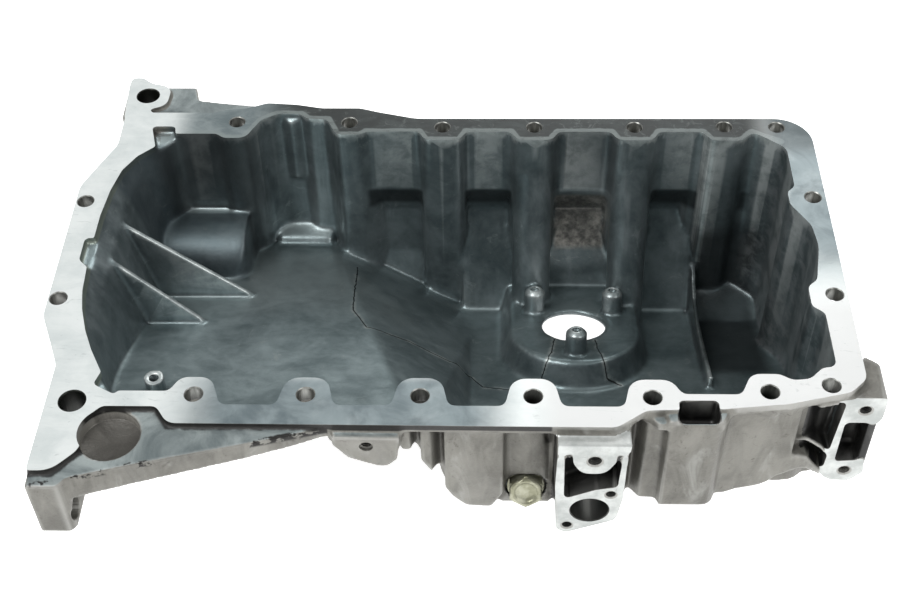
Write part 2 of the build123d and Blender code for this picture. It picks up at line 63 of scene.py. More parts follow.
# ------------------------------------------------------------------ node helpers
class Mat:
    def __init__(self, name):
        self.m = bpy.data.materials.new(name)
        self.m.use_nodes = True
        self.t = self.m.node_tree
        self.t.nodes.clear()
        self.out = self.t.nodes.new("ShaderNodeOutputMaterial")
        self.b = self.t.nodes.new("ShaderNodeBsdfPrincipled")
        self.t.links.new(self.b.outputs[0], self.out.inputs[0])
        self.co = self.t.nodes.new("ShaderNodeTexCoord").outputs["Object"]
        self.geo = self.t.nodes.new("ShaderNodeNewGeometry")
        s = self.t.nodes.new("ShaderNodeSeparateXYZ")
        self.t.links.new(self.co, s.inputs[0])
        self.x, self.y, self.z = s.outputs

    def put(self, socket, v):
        if hasattr(v, "is_output"):
            self.t.links.new(v, socket)
        elif isinstance(v, (tuple, list)) and len(v) == 3 and len(socket.default_value) == 4:
            socket.default_value = (*v, 1.0)
        else:
            socket.default_value = v

    def set(self, **kw):
        names = dict(color="Base Color", metallic="Metallic", rough="Roughness", normal="Normal", coat="Coat Weight",
                     coat_rough="Coat Roughness", spec="Specular IOR Level", glow="Emission Color", glow_s="Emission Strength")
        for k, v in kw.items():
            self.put(self.b.inputs[names[k]], v)

    def noise(self, scale, detail=4.0, rough=0.55, stretch=None, distortion=0.0, vec=None):
        n = self.t.nodes.new("ShaderNodeTexNoise")
        n.inputs["Scale"].default_value = scale
        n.inputs["Detail"].default_value = detail
        n.inputs["Roughness"].default_value = rough
        n.inputs["Distortion"].default_value = distortion
        v = vec if vec is not None else self.co
        if stretch:
            mp = self.t.nodes.new("ShaderNodeMapping")
            mp.inputs["Scale"].default_value = stretch[:3]
            if len(stretch) > 3:
                mp.inputs["Rotation"].default_value = stretch[3]
            self.t.links.new(v, mp.inputs["Vector"])
            v = mp.outputs[0]
        self.t.links.new(v, n.inputs["Vector"])
        return n.outputs["Fac"]

    def voronoi(self, scale, feature="F1"):
        n = self.t.nodes.new("ShaderNodeTexVoronoi")
        n.feature = feature
        n.inputs["Scale"].default_value = scale
        self.t.links.new(self.co, n.inputs["Vector"])
        return n.outputs["Distance"]

    def math(self, op, a, b=0.0, c=0.0, clamp=False):
        n = self.t.nodes.new("ShaderNodeMath")
        n.operation = op
        n.use_clamp = clamp
        for i, v in enumerate((a, b, c)):
            self.put(n.inputs[i], v)
        return n.outputs[0]

    def span(self, v, lo, hi, a=0.0, b=1.0, smooth=True):
        n = self.t.nodes.new("ShaderNodeMapRange")
        n.interpolation_type = "SMOOTHSTEP" if smooth else "LINEAR"
        for k, val in (("From Min", lo), ("From Max", hi), ("To Min", a), ("To Max", b)):
            n.inputs[k].default_value = val
        self.put(n.inputs["Value"], v)
        return n.outputs[0]

    def mix(self, fac, a, b):
        n = self.t.nodes.new("ShaderNodeMix")
        n.data_type = "RGBA"
        n.clamp_factor = True
        self.put(n.inputs[0], fac)
        self.put(n.inputs[6], a)
        self.put(n.inputs[7], b)
        return n.outputs[2]

    def bump(self, height, strength, distance, normal=None):
        n = self.t.nodes.new("ShaderNodeBump")
        n.inputs["Strength"].default_value = strength
        n.inputs["Distance"].default_value = distance
        self.t.links.new(height, n.inputs["Height"])
        if normal is not None:
            self.t.links.new(normal, n.inputs["Normal"])
        return n.outputs[0]

    def ao(self, distance, inside=False, samples=6):
        n = self.t.nodes.new("ShaderNodeAmbientOcclusion")
        n.samples = samples
        n.inside = inside
        n.inputs["Distance"].default_value = distance
        return n.outputs["AO"]

    def vec(self, op, a, b=None, scale=None):
        n = self.t.nodes.new("ShaderNodeVectorMath")
        n.operation = op
        self.put(n.inputs[0], a)
        if b is not None:
            self.put(n.inputs[1], b)
        if scale is not None:
            self.put(n.inputs[3], scale)
        return n.outputs[1] if op in ("DOT_PRODUCT", "LENGTH") else n.outputs[0]

    def lines(self, paths):
        """Plan distance (m) to a set of open polylines given in mm, slightly wavering."""
        c = self.t.nodes.new("ShaderNodeCombineXYZ")
        wave = self.math("MULTIPLY", self.math("SUBTRACT", self.noise(150, 4, 0.6), 0.5), 0.0022)
        self.t.links.new(self.math("ADD", self.x, wave), c.inputs[0])
        self.t.links.new(self.math("SUBTRACT", self.y, wave), c.inputs[1])
        best = None
        for path in paths:
            for (ax_, ay), (bx, by) in zip(path, path[1:]):
                dx, dy = (bx - ax_) * MM, (by - ay) * MM
                q = self.vec("SUBTRACT", c.outputs[0], (ax_ * MM, ay * MM, 0.0))
                t = self.math("MULTIPLY", self.vec("DOT_PRODUCT", q, (dx, dy, 0.0)), 1.0 / (dx * dx + dy * dy), clamp=True)
                along = self.vec("SCALE", (dx, dy, 0.0), scale=t)
                d = self.vec("LENGTH", self.vec("SUBTRACT", q, along))
                best = d if best is None else self.math("MINIMUM", best, d)
        return best

    def attr(self, name):
        n = self.t.nodes.new("ShaderNodeAttribute")
        n.attribute_name = name
        return n.outputs["Fac"]


# ------------------------------------------------------------------ materials
def tint(c, k):
    return tuple(min(1.0, v * k) for v in c)


def inside_metal():
    m = Mat("cast_inside")
    cloud = m.noise(16, 5, 0.6, distortion=0.5)
    streak = m.noise(34, 5, 0.62, stretch=(1.0, 1.5, 0.75), distortion=1.4)
    fine = m.noise(420, 3, 0.6)
    mott = m.noise(95, 5, 0.65, distortion=0.3)
    drip = m.noise(45, 4, 0.6, stretch=(1.0, 1.0, 0.16), distortion=0.3)
    sn = m.t.nodes.new("ShaderNodeSeparateXYZ")
    m.t.links.new(m.geo.outputs["Normal"], sn.inputs[0])
    flat = m.span(sn.outputs[2], 0.55, 0.90)
    f = m.math("ADD", m.math("MULTIPLY", cloud, 0.5), m.math("MULTIPLY", streak, 0.3))
    f = m.math("ADD", f, m.math("MULTIPLY", m.math("SUBTRACT", mott, 0.1), 0.25))
    wall = m.mix(m.span(f, 0.30, 0.72), (0.078, 0.102, 0.108), (0.230, 0.268, 0.276))
    wall = m.mix(m.math("MULTIPLY", m.span(drip, 0.52, 0.70), 0.30), wall, (0.36, 0.40, 0.41))
    wall = m.mix(m.math("MULTIPLY", m.span(drip, 0.46, 0.32), 0.40), wall, (0.050, 0.064, 0.070))
    deep = m.span(m.z, -0.052, -0.085)
    base = m.mix(m.span(f, 0.32, 0.68), (0.150, 0.196, 0.204), (0.300, 0.362, 0.370))
    base = m.mix(deep, base, m.mix(m.span(f, 0.32, 0.68), (0.090, 0.122, 0.127), (0.215, 0.262, 0.268)))
    col = m.mix(flat, wall, base)
    # scuffs
    pale = m.math("MULTIPLY", m.span(m.noise(60, 7, 0.72, distortion=1.4), 0.58, 0.72), 0.35)
    col = m.mix(pale, col, (0.40, 0.44, 0.43))
    # brown, speckled panel of the third bay: real worn speckle, plus painted light where the panel is lit through the
    # hole in the plateau below
    hole_lit_bay = m.math("MULTIPLY", m.math("MULTIPLY", m.span(m.x, 0.039, 0.044), m.span(m.x, 0.076, 0.071)),
                 m.math("MULTIPLY", m.math("MULTIPLY", m.span(m.z, -0.050, -0.054), m.span(m.z, -0.096, -0.090)), m.span(m.y, 0.070, 0.076)))
    speckle_and_hole_light = m.math("ADD", m.math("MULTIPLY", m.span(m.noise(55, 6, 0.62), 0.42, 0.66), 0.82), m.math("MULTIPLY", m.span(m.noise(330, 3, 0.6), 0.40, 0.66), 0.18))
    col = m.mix(m.math("MULTIPLY", hole_lit_bay, 0.80), col, m.mix(speckle_and_hole_light, (0.085, 0.076, 0.068), (0.520, 0.490, 0.440)))
    # parting seams
    seam = m.lines([[(-82.4, 79.9), (-79.4, 17.5), (-69.9, -2.3), (-45.1, -0.5), (-22.7, -5.6), (-9.4, -1.7), (-2.8, -11.0), (12.9, -13.9)],
                    [(40.5, 20.1), (37.8, 5.2), (35.2, -2.3), (32.4, -7.3)],
                    [(64.8, 19.2), (65.9, 8.8), (68.1, -1.8), (70.7, -8.4), (73.9, -8.7), (79.7, -9.1)]])
    low = m.span(m.z, -0.040, -0.048)
    # painted highlight: a light band along the seams, where the floor bends
    seam_highlight = m.math("MULTIPLY", m.math("MULTIPLY", m.span(seam, 0.0026, 0.0006), m.span(mott, 0.42, 0.60)), low)
    col = m.mix(m.math("MULTIPLY", seam_highlight, 0.55), col, (0.45, 0.48, 0.46))
    line = m.math("MULTIPLY", m.span(seam, 0.00052, 0.00022), low)
    # bright edges and dark roots, from the shape itself: real wear with painted highlight on convex edges, and painted
    # shade in the concave roots
    wear_and_highlight = m.attr("convex")
    crease_shade = m.attr("concave")
    col = m.mix(m.math("MULTIPLY", crease_shade, 0.62), col, (0.026, 0.032, 0.034))
    col = m.mix(m.math("MULTIPLY", wear_and_highlight, m.span(mott, 0.30, 0.62, 0.35, 0.95)), col, (0.62, 0.66, 0.65))
    # greenish lip under the end rail
    lip = m.math("MULTIPLY", m.span(m.z, -0.0040, -0.0032), m.span(m.x, -0.188, -0.196))
    col = m.mix(m.math("MULTIPLY", lip, 0.8), col, (0.22, 0.25, 0.21))
    # painted shade: the shelf beside the plateau and the far corners are painted dark
    shelf_shade = m.math("MULTIPLY", m.math("MULTIPLY", m.span(m.x, 0.126, 0.132), m.span(m.x, 0.176, 0.166)), m.math("MULTIPLY", m.span(m.y, 0.000, 0.012), m.span(m.z, -0.066, -0.082)))
    col = m.mix(m.math("MULTIPLY", shelf_shade, 0.75), col, (0.024, 0.028, 0.030))
    # painted shade on the downward-facing step band under the upper panels of the far-wall bays; the third bay, lit
    # through the hole, gets less of it
    step_band_shade = m.math("MULTIPLY", m.math("MULTIPLY", m.span(m.z, -0.0445, -0.0480), m.span(m.z, -0.0640, -0.0580)), m.span(m.y, 0.0945, 0.0975))
    third = m.math("MULTIPLY", m.span(m.x, 0.030, 0.036), m.span(m.x, 0.080, 0.074))
    step_band_shade = m.math("MULTIPLY", m.math("MULTIPLY", step_band_shade, m.span(m.x, -0.076, -0.072)), m.math("MULTIPLY_ADD", third, -0.85, 1.0))
    col = m.mix(m.math("MULTIPLY", step_band_shade, 0.8), col, (0.014, 0.017, 0.018))
    humpm = m.math("MULTIPLY", m.math("MULTIPLY", m.span(m.x, -0.144, -0.149), m.span(m.y, 0.050, 0.056)), m.math("MULTIPLY", m.span(m.z, -0.088, -0.080), m.span(m.y, 0.093, 0.089)))
    col = m.mix(m.math("MULTIPLY", humpm, 0.62), col, (0.040, 0.056, 0.066))
    up3 = m.math("MULTIPLY", m.math("MULTIPLY", third, m.span(m.z, -0.047, -0.044)), m.span(m.y, 0.090, 0.094))
    col = m.mix(m.math("MULTIPLY", up3, 0.42), col, (0.030, 0.036, 0.038))
    sf = m.math("MULTIPLY", m.math("MULTIPLY", flat, m.span(m.y, -0.005, 0.045)), m.math("MULTIPLY", m.span(m.x, -0.030, -0.055), m.span(m.z, -0.098, -0.090)))
    col = m.mix(m.math("MULTIPLY", sf, m.math("MULTIPLY_ADD", humpm, -0.34, 0.34)), col, (0.44, 0.50, 0.50))
    rw = m.math("MULTIPLY", m.math("MULTIPLY", m.span(m.x, 0.158, 0.166), m.span(mott, 0.40, 0.62)), m.math("SUBTRACT", 1.0, flat))
    col = m.mix(m.math("MULTIPLY", rw, 0.30), col, (0.40, 0.42, 0.43))
    # painted shade on the walls of the far-left corner
    fl = m.math("MULTIPLY", m.math("MULTIPLY", m.span(m.y, 0.076, 0.088), m.span(m.x, -0.136, -0.146)), m.math("SUBTRACT", 1.0, flat))
    col = m.mix(m.math("MULTIPLY", fl, 0.72), col, (0.030, 0.036, 0.038))
    col = m.mix(line, col, (0.012, 0.014, 0.015))
    rough = m.math("ADD", m.span(f, 0.3, 0.75, 0.30, 0.46), m.math("MULTIPLY", m.math("MAXIMUM", line, m.math("MULTIPLY", humpm, 0.35)), 0.3))
    h = m.math("ADD", m.math("MULTIPLY", fine, 0.35), m.math("MULTIPLY", m.noise(130, 4, 0.6), 0.9))
    m.set(color=col, metallic=0.72, rough=rough, normal=m.bump(h, 0.30, 0.0006))
    return m.m


def outside_metal():
    m = Mat("cast_outside")
    cloud = m.noise(24, 5, 0.6, distortion=0.4)
    drag = m.noise(70, 6, 0.65, stretch=(1.3, 1.3, 0.5), distortion=0.7)
    fine = m.noise(650, 3, 0.6)
    sn = m.t.nodes.new("ShaderNodeSeparateXYZ")
    m.t.links.new(m.geo.outputs["Normal"], sn.inputs[0])
    up = m.span(sn.outputs[2], 0.80, 0.97)
    f = m.math("ADD", m.math("MULTIPLY", cloud, 0.5), m.math("MULTIPLY", drag, 0.5))
    col = m.mix(m.span(f, 0.34, 0.66), (0.098, 0.095, 0.083), (0.218, 0.214, 0.192))
    spots = m.math("MULTIPLY", m.span(m.noise(150, 6, 0.75, distortion=0.9), 0.58, 0.70), 0.6)
    col = m.mix(spots, col, (0.055, 0.047, 0.038))
    shine = m.math("MULTIPLY", m.span(m.noise(52, 5, 0.65, stretch=(1.0, 1.0, 0.35), distortion=0.8), 0.55, 0.70), 0.5)
    col = m.mix(shine, col, (0.34, 0.345, 0.325))
    # brushed, bluish upper faces of the gusset and of the end plate
    blue = m.mix(m.span(m.noise(30, 5, 0.6, distortion=0.8), 0.32, 0.68), (0.105, 0.130, 0.134), (0.300, 0.340, 0.338))
    top = m.math("MULTIPLY", up, m.math("MULTIPLY", m.span(m.z, -0.0052, -0.0044), m.math("SUBTRACT", 1.0, m.span(m.z, -0.0006, -0.0002))))
    col = m.mix(top, col, blue)
    # burrs along the gusset's upper edge
    cup = m.math("MULTIPLY", m.span(m.x, -0.1700, -0.1708), m.span(m.z, -0.0040, -0.0046))
    cup = m.math("MULTIPLY", cup, m.math("MULTIPLY", m.span(m.x, -0.2012, -0.2004), m.span(m.y, -0.1418, -0.1410)))
    col = m.mix(m.math("MULTIPLY", cup, m.span(m.y, -0.1100, -0.1106)), col, m.mix(m.span(cloud, 0.35, 0.65), (0.185, 0.178, 0.158), (0.340, 0.328, 0.298)))
    ridge = m.lines([[(-221.0, -157.6), (-207.0, -153.9), (-171.7, -144.3), (-121.9, -132.3), (-96.0, -125.7), (-80.0, -121.6)]])
    burr = m.math("MULTIPLY", m.span(ridge, 0.0020, 0.0011), m.span(m.z, -0.0075, -0.0055))
    burr = m.math("MULTIPLY", burr, m.span(m.noise(40, 5, 0.72, stretch=(0.8, 1.0, 1.0)), 0.50, 0.54))
    # painted shade from ambient occlusion in corners and crevices
    ao_shade = m.span(m.ao(0.007, samples=4), 0.82, 0.38)
    col = m.mix(m.math("MULTIPLY", ao_shade, 0.62), col, (0.034, 0.031, 0.027))
    # painted shade in concave creases; convex edges painted lighter, as wear and painted highlight
    col = m.mix(m.math("MULTIPLY", m.attr("concave"), 0.80), col, (0.024, 0.022, 0.019))
    col = m.mix(m.math("MULTIPLY", m.attr("convex"), 0.62), col, (0.44, 0.44, 0.42))
    # painted shadow: a near-black band just under the outer edge of the rail
    brow = m.lines([[(-221.0, -150.0), (-209.5, -150.0), (-197.5, -137.0), (-197.5, -117.0), (-191.5, -110.4), (-164.5, -110.4), (-157.5, -120.9), (30.0, -121.8)]])
    rail_edge_shadow = m.math("MULTIPLY", m.span(brow, 0.0026, 0.0012), m.math("MULTIPLY", m.span(m.z, -0.0040, -0.0034), m.span(m.z, 0.0, -0.0004)))
    col = m.mix(m.math("MULTIPLY", rail_edge_shadow, 0.93), col, (0.008, 0.008, 0.008))
    col = m.mix(burr, col, (0.012, 0.011, 0.010))
    h = m.math("ADD", m.math("MULTIPLY", fine, 0.5), m.math("MULTIPLY", m.noise(180, 5, 0.65), 1.0))
    m.set(color=col, metallic=0.45, rough=m.span(f, 0.3, 0.7, 0.40, 0.58), normal=m.bump(h, 0.55, 0.0007))
    return m.m


def rail_metal():
    m = Mat("machined_rail")
    left = m.span(m.x, -0.172, -0.196)
    away = m.math("SUBTRACT", 1.0, left)
    # painted reflection: the far side of the rail is painted dark grey-green, as if reflecting dark surroundings at a
    # grazing angle
    far = m.math("MULTIPLY", m.span(m.y, 0.074, 0.090), away)
    far = m.math("MULTIPLY", far, m.span(m.x, 0.176, 0.150, 0.45, 1.0))
    cloud = m.noise(26, 6, 0.65, distortion=0.5)
    rub = m.noise(75, 6, 0.7, stretch=(0.7, 1.5, 1.0), distortion=1.0)
    f = m.math("ADD", m.math("MULTIPLY", cloud, 0.6), m.math("MULTIPLY", rub, 0.4))
    dark = m.mix(m.span(f, 0.40, 0.68), (0.008, 0.012, 0.0115), (0.036, 0.045, 0.044))
    far_light_patches = m.span(m.noise(120, 6, 0.75, distortion=1.2), 0.55, 0.66)
    dark = m.mix(m.math("MULTIPLY", far_light_patches, 0.35), dark, (0.14, 0.16, 0.155))
    corner = m.span(m.x, -0.112, -0.146)
    dark = m.mix(corner, dark, m.mix(m.span(f, 0.36, 0.66), (0.085, 0.112, 0.118), (0.200, 0.235, 0.238)))
    edge = m.lines([[(170.5, 90.0), (161.0, 95.0), (155.5, 98.4), (148.8, 91.0), (131.2, 91.0), (126.5, 98.6), (100.8, 98.6), (96.9, 91.1), (76.3, 91.1),
                     (72.4, 98.6), (41.5, 98.6), (37.6, 91.1), (17.0, 91.1), (13.1, 98.6), (-13.1, 98.6), (-17.0, 91.1), (-37.6, 91.1), (-41.5, 98.6),
                     (-72.5, 98.3), (-76.5, 95.6), (-90.4, 95.4), (-96.5, 109.6), (-108.5, 110.2), (-113.5, 114.8), (-126.5, 114.8), (-136.4, 108.8),
                     (-144.3, 92.5), (-157.0, 92.5), (-161.5, 96.3), (-186.0, 96.3)]])
    band = m.math("MULTIPLY", m.span(edge, 0.0034, 0.0024), m.span(rub, 0.28, 0.50, 0.25, 1.0))
    dark = m.mix(m.math("MULTIPLY", band, 0.62), dark, (0.175, 0.205, 0.200))
    bright = m.mix(m.span(f, 0.35, 0.62), (0.58, 0.625, 0.62), (0.70, 0.735, 0.725))
    # blue-grey stains: the near side's left half and the drain end
    near = m.math("MULTIPLY", m.span(m.y, -0.084, -0.096), m.math("MULTIPLY", m.span(m.x, -0.168, -0.128), m.span(m.x, 0.024, -0.012)))
    end = m.math("MULTIPLY", m.span(m.x, 0.160, 0.172), m.span(m.y, -0.045, 0.012))
    zone = m.math("MAXIMUM", near, end)
    stain = m.mix(m.span(m.noise(34, 5, 0.6, distortion=0.7), 0.34, 0.64), (0.085, 0.116, 0.128), (0.195, 0.240, 0.252))
    bright = m.mix(m.math("MULTIPLY", zone, m.span(cloud, 0.30, 0.52, 0.80, 0.96)), bright, stain)
    clean = m.math("MULTIPLY", m.span(m.x, 0.014, 0.040), m.span(m.y, -0.010, -0.050))
    bright = m.mix(clean, bright, (0.56, 0.57, 0.565))
    col = m.mix(far, bright, dark)
    # scratches
    scr = m.span(m.noise(160, 5, 0.7, stretch=(0.35, 1.4, 1.0), distortion=1.6), 0.62, 0.66)
    col = m.mix(m.math("MULTIPLY", scr, 0.22), col, (0.16, 0.19, 0.19))
    mill = m.noise(900, 2, 0.5, stretch=(0.06, 1.0, 1.0))
    m.set(color=col, metallic=m.math("MULTIPLY_ADD", far, -0.3, 0.35), spec=0.4, rough=m.math("ADD", m.math("MULTIPLY_ADD", f, 0.2, 0.28), m.math("MULTIPLY", far, 0.12)), normal=m.bump(mill, 0.10, 0.0002))
    return m.m


def face_metal():
    m = Mat("machined_face")
    f = m.noise(60, 6, 0.65)
    col = m.mix(m.span(f, 0.35, 0.65), (0.36, 0.38, 0.37), (0.56, 0.58, 0.565))
    mill = m.noise(1000, 2, 0.5, stretch=(1.0, 1.0, 0.08))
    m.set(color=col, metallic=0.4, rough=0.36, normal=m.bump(mill, 0.12, 0.0002))
    return m.m


def hole_metal():
    m = Mat("drilled_hole")
    f = m.noise(300, 4, 0.6, stretch=(1.0, 1.0, 0.2))
    col = m.mix(m.span(f, 0.3, 0.7), (0.13, 0.135, 0.125), (0.33, 0.335, 0.315))
    # painted shade: darker deeper in the holes, and the lug holes near black
    deep = m.span(m.z, -0.0025, -0.0100)
    col = m.mix(deep, col, (0.045, 0.046, 0.043))
    lug = m.span(m.x, -0.196, -0.199)
    col = m.mix(m.math("MULTIPLY", lug, m.span(m.x, -0.2175, -0.2165)), col, (0.014, 0.016, 0.013))
    rings = m.noise(2400, 2, 0.5, stretch=(0.1, 0.1, 1.0))
    m.set(color=col, metallic=0.7, rough=0.34, normal=m.bump(rings, 0.25, 0.0002))
    return m.m


def zinc():
    m = Mat("yellow_zinc")
    f = m.noise(160, 5, 0.6)
    col = m.mix(m.span(f, 0.35, 0.65), (0.24, 0.24, 0.165), (0.43, 0.43, 0.335))
    col = m.mix(m.span(m.noise(420, 4, 0.7), 0.60, 0.72), col, (0.12, 0.11, 0.07))
    m.set(color=col, metallic=0.6, rough=m.span(f, 0.3, 0.7, 0.28, 0.42), normal=m.bump(m.noise(700, 3, 0.6), 0.2, 0.0002))
    return m.m


def washer_metal():
    m = Mat("washer_metal")
    f = m.noise(300, 5, 0.6)
    m.set(color=m.mix(f, (0.30, 0.30, 0.27), (0.52, 0.52, 0.49)), metallic=0.8, rough=0.36, normal=m.bump(m.noise(900, 3, 0.6), 0.15, 0.0002))
    return m.m


def pocket_metal():
    m = Mat("pocket")
    f = m.noise(70, 5, 0.65, stretch=(1.0, 1.0, 0.4), distortion=0.5)
    # painted shade: the pockets are painted near black, with convex edges painted lighter as highlight
    col = m.mix(m.span(f, 0.42, 0.66), (0.010, 0.010, 0.010), (0.050, 0.050, 0.047))
    col = m.mix(m.math("MULTIPLY", m.attr("convex"), 0.75), col, (0.40, 0.40, 0.38))
    m.set(color=col, metallic=0.5, rough=0.38, normal=m.bump(m.noise(260, 4, 0.6), 0.3, 0.0005))
    return m.m


INSIDE, OUTSIDE, RAIL, FACE, HOLE, POCKET = inside_metal(), outside_metal(), rail_metal(), face_metal(), hole_metal(), pocket_metal()

# ------------------------------------------------------------------ casting
inner = [(-186, -100.6), (-159.5, -100.6), (-154.8, -91.5), (-139.2, -91.5), (-133.2, -109.0)]
for lx in (-90.7, -33.5, 22.9):
    inner += [(lx - 14.2, -109.0), (lx - 10.3, -91.4), (lx + 10.3, -91.4), (lx + 14.2, -109.0)]
inner += [(67.9, -109.0), (71.9, -91.6), (92.2, -91.6), (97.0, -100.7), (126.5, -100.7), (132.6, -87.4), (146.8, -87.4),
          (153.0, -91.3), (162.0, -90.3), (169.0, -83.2), (176.3, -82.2), (176.2, -45.6), (170.0, -40.8), (170.0, -26.5),
          (175.6, -22.0), (180.4, 4.0), (178.8, 20.0), (169.3, 37.0), (169.3, 47.0), (173.9, 51.5), (173.9, 84.5),
          (161.0, 95.0), (155.5, 98.4), (148.8, 91.0), (131.2, 91.0), (126.5, 98.6)]
for lx in (86.6, 27.3, -27.3):
    inner += [(lx + 14.2, 98.6), (lx + 10.3, 91.1), (lx - 10.3, 91.1), (lx - 14.2, 98.6)]
inner += [(-72.5, 98.3), (-76.5, 95.6), (-90.4, 95.4), (-96.5, 109.6), (-108.5, 110.2), (-113.5, 114.8), (-126.5, 114.8),
          (-136.4, 108.8), (-144.3, 92.5), (-157.0, 92.5), (-161.5, 96.3), (-186, 96.3), (-190.5, 91.5), (-197.0, 84.0),
          (-205.5, 76.0), (-212.3, 63.9), (-216.2, 46.0), (-218.1, 26.3), (-218.4, -5.0), (-216.9, -31.6), (-214.4, -45.0),
          (-209.7, -60.2), (-204.0, -73.5), (-196.7, -87.3), (-193.0, -93.8)]
inner = np.array(inner, float)
bays = [(-71.5, -40.2), (-15.6, 15.6), (38.9, 75.2), (98.6, 124.0)]


def distance_to_outline(p):
    """Signed distance of plan points to the opening's outline, negative inside (mm)."""
    best = np.full(len(p), 1e9)
    odd = np.zeros(len(p), bool)
    for a, b in zip(inner, np.roll(inner, -1, 0)):
        d = b - a
        t = np.clip(((p - a) @ d) / (d @ d), 0, 1)
        best = np.minimum(best, np.hypot(*(p - a - t[:, None] * d).T))
        cross = (a[1] > p[:, 1]) != (b[1] > p[:, 1])
        with np.errstate(divide="ignore", invalid="ignore"):
            xi = a[0] + (p[:, 1] - a[1]) * d[0] / d[1]
        odd ^= cross & (p[:, 0] < xi)
    return np.where(odd, -best, best)


def plan_field():
    """Distance to the outline on a 1 mm plan grid, so that it can be looked up quickly."""
    xs, ys = np.arange(-245, 212, 1.0), np.arange(-162, 157, 1.0)
    g = np.stack(np.meshgrid(xs, ys, indexing="ij"), -1).reshape(-1, 2)
    d = distance_to_outline(g).reshape(len(xs), len(ys))
    def look(p):
        u = np.clip(p[:, 0] + 245, 0, len(xs) - 1.001)
        v = np.clip(p[:, 1] + 162, 0, len(ys) - 1.001)
        i, j = u.astype(int), v.astype(int)
        a, b = u - i, v - j
        return (d[i, j] * (1 - a) + d[i + 1, j] * a) * (1 - b) + (d[i, j + 1] * (1 - a) + d[i + 1, j + 1] * a) * b
    return look


outline = plan_field()


def in_bay(p):
    r = np.zeros(len(p), bool)
    for a, b in bays:
        r |= (p[:, 0] > a - 1) & (p[:, 0] < b + 1) & (p[:, 1] > 90) & (p[:, 1] < 107)
    return r


def cad_triangles(node):
    """The CAD node's closed mesh in mm, with its machined planes moved out so that they can be cut back crisp."""
    bm = bmesh.new()
    bm.from_mesh(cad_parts[node].data)
    bmesh.ops.remove_doubles(bm, verts=bm.verts, dist=3e-6)
    for co, no in (((0, 0, -0.0006), (0, 0, 1)), ((0, -0.1284, 0), (0, -1, 0)), ((0, -0.0969, 0), (0, -1, 0))):
        bmesh.ops.bisect_plane(bm, geom=bm.verts[:] + bm.edges[:] + bm.faces[:], plane_co=co, plane_no=no, dist=1e-7)
    bmesh.ops.triangulate(bm, faces=bm.faces)
    bm.verts.index_update()
    co = np.array([v.co for v in bm.verts], np.float64) / MM
    tri = np.array([[v.index for v in f.verts] for f in bm.faces], np.int32)
    bm.free()
    top = co[:, 2] > -0.002
    ret = (np.abs(co[:, 1] + 129.0) < 0.02) & (co[:, 0] > 30) & (co[:, 0] < 72) & (co[:, 2] > -86) & (co[:, 2] < -12.7)
    brk = (np.abs(co[:, 1] + 97.5) < 0.02) & (co[:, 0] > 177) & (co[:, 2] < -6.4)
    co[top, 2] = 3.0
    co[ret, 1] = -131.0
    co[brk, 1] = -99.2
    return co.astype(np.float32), tri


def level(p, t, h, half):
    return vdb.FloatGrid.createLevelSetFromPolygons(p, triangles=t, transform=vdb.createLinearTransform(voxelSize=h), halfWidth=half)


def polygons(grid, iso):
    p, t, q = grid.convertToPolygons(isovalue=iso, adaptivity=0.0)
    if len(q):
        t = np.vstack([t, q[:, [0, 1, 2]], q[:, [0, 2, 3]]])
    return p.astype(np.float32), t.astype(np.int32)


def signed_volume(p, t):
    a, b, c = p[t[:, 0]].astype(float), p[t[:, 1]].astype(float), p[t[:, 2]].astype(float)
    return float(np.einsum("ij,ij->i", a, np.cross(b, c)).sum() / 6)


def smooth(p, t, weight, rounds):
    """Umbrella smoothing of the vertices that weight lets move."""
    e = np.vstack([t[:, [0, 1]], t[:, [1, 2]], t[:, [2, 0]]])
    move = weight > 0.01
    e = e[move[e[:, 0]] | move[e[:, 1]]]
    key = np.unique(np.sort(e, 1).astype(np.int64) @ np.array([1 << 32, 1]))
    e = np.stack([key >> 32, key & 0xFFFFFFFF], 1).astype(np.int64)
    used = np.unique(e)
    back = np.zeros(len(p), np.int64)
    back[used] = np.arange(len(used))
    i, j = back[e[:, 0]], back[e[:, 1]]
    q = p[used].astype(np.float64)
    w = weight[used][:, None]
    n = np.maximum(np.bincount(i, minlength=len(q)) + np.bincount(j, minlength=len(q)), 1)[:, None]
    for _ in range(rounds):
        s = np.stack([np.bincount(i, q[j, k], len(q)) + np.bincount(j, q[i, k], len(q)) for k in range(3)], 1)
        q += w * 0.55 * (s / n - q)
    p = p.copy()
    p[used] = q
    return p


def make_mesh(name, p, t):
    me = bpy.data.meshes.new(name)
    me.vertices.add(len(p))
    me.vertices.foreach_set("co", np.ascontiguousarray(p, np.float32).ravel())
    me.loops.add(len(t) * 3)
    me.loops.foreach_set("vertex_index", np.ascontiguousarray(t, np.int32).ravel())
    me.polygons.add(len(t))
    me.polygons.foreach_set("loop_start", np.arange(0, len(t) * 3, 3, dtype=np.int32))
    me.update(calc_edges=True)
    me.validate()
    return me


def applied(ob):
    dg = bpy.context.evaluated_depsgraph_get()
    me = bpy.data.meshes.new_from_object(ob.evaluated_get(dg))
    ob.modifiers.clear()
    old = ob.data
    ob.data = me
    bpy.data.meshes.remove(old)


